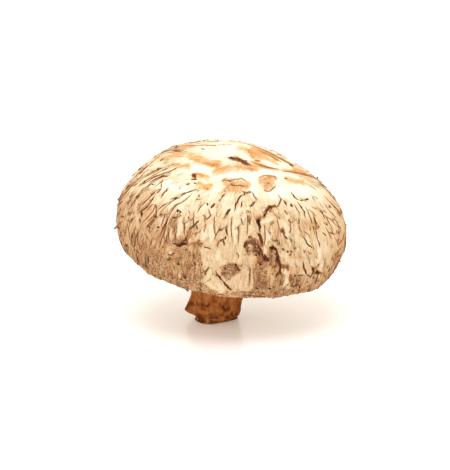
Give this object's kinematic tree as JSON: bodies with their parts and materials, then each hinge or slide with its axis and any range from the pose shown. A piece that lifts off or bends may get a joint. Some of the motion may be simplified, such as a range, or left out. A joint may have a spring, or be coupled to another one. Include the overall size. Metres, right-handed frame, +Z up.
{
  "type": "shiitake mushroom",
  "caption": "Fresh shiitake mushroom with a thick, scaly, cracked cap, an inrolled margin, radial gills and a short fibrous stem, standing on its cut foot.",
  "frame": {"origin": "middle of the stem's flat cut, which stands on the surface", "axes": "+Z up; +X to the right and -Y towards the viewer in the picture's view; the cap leans right and towards the viewer"},
  "size_m": [0.0694, 0.0709, 0.0533],
  "materials": {
    "cap_skin": "dry torn skin: cream flesh showing between tan and brown fibrous plates with dark cracked edges, white towards the crown",
    "gill": "matt cream gills, slightly translucent, tan at their free edges",
    "stem_skin": "matt reddish-brown fibrous skin with small scales, darker towards the cut"
  },
  "bodies": {
    "root": {"cap": "cap_skin", "gills": "gill", "stem": "stem_skin"}
  },
  "joints": []
}
